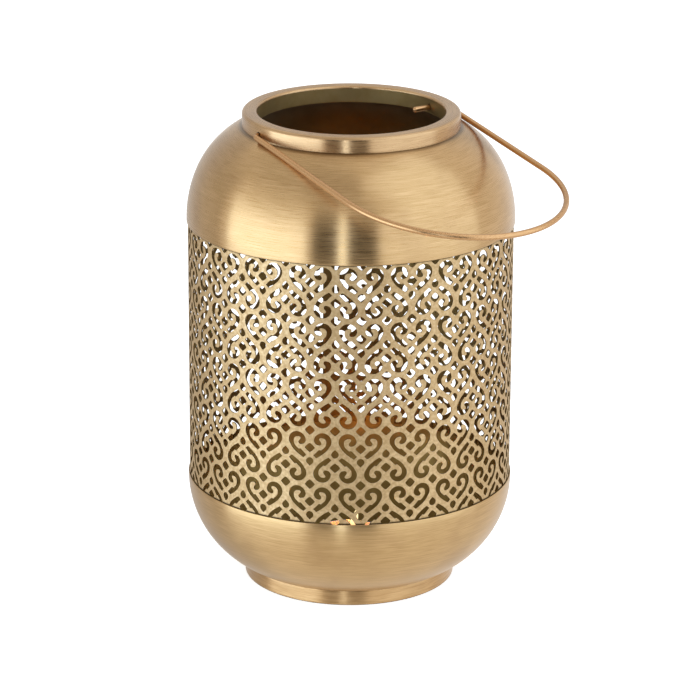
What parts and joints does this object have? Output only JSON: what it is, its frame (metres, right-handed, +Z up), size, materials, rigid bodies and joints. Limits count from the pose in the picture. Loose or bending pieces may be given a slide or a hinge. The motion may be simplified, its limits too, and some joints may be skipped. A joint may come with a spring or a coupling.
{
  "type": "hanging lantern",
  "caption": "Open-topped brass hanging lantern: spun dome and bowl joined by a pierced scrollwork screen, with a collar, a foot ring, a wire bail and a tealight.",
  "frame": {"origin": "centre of the foot ring's lower edge, where the lantern stands", "axes": "+Z up along the axis of the shells, X along the bail's pivot axis, and the bail rests towards -Y"},
  "size_m": [0.1712, 0.2341, 0.253],
  "materials": {
    "spun_brass": "satin antique brass, brushed round the axis",
    "collar_brass": "matt antique brass",
    "screen_brass": "matt antique brass, pierced",
    "foot_brass": "satin antique brass",
    "brass_wire": "drawn brass wire, satin",
    "dish_brass": "plain brass, dulled",
    "cup_aluminium": "pressed foil",
    "candle_wax": "translucent paraffin wax",
    "cotton_wick": "charred cotton",
    "tinned_steel": "tinned"
  },
  "bodies": {
    "lantern": {"dome_shell": "spun_brass", "collar_ring": "collar_brass", "pierced_screen": "screen_brass", "lower_bowl": "spun_brass", "foot_ring": "foot_brass", "candle_dish": "dish_brass"},
    "bail": {"bail_handle": "brass_wire"},
    "tealight": {"tealight_cup": "cup_aluminium", "tealight_wax": "candle_wax", "wick": "cotton_wick", "wick_sustainer": "tinned_steel"}
  },
  "joints": [
    {"name": "bail_swing", "type": "hinge", "parent": "lantern", "child": "bail", "pos_m": [0, 0, 0.24725], "axis": [-1, 0, 0], "range_deg": [0, 198.7]},
    {"name": "tealight_lift", "type": "slide", "parent": "lantern", "child": "tealight", "axis": [0, 0, 1], "range_m": [0, 0.252]}
  ]
}
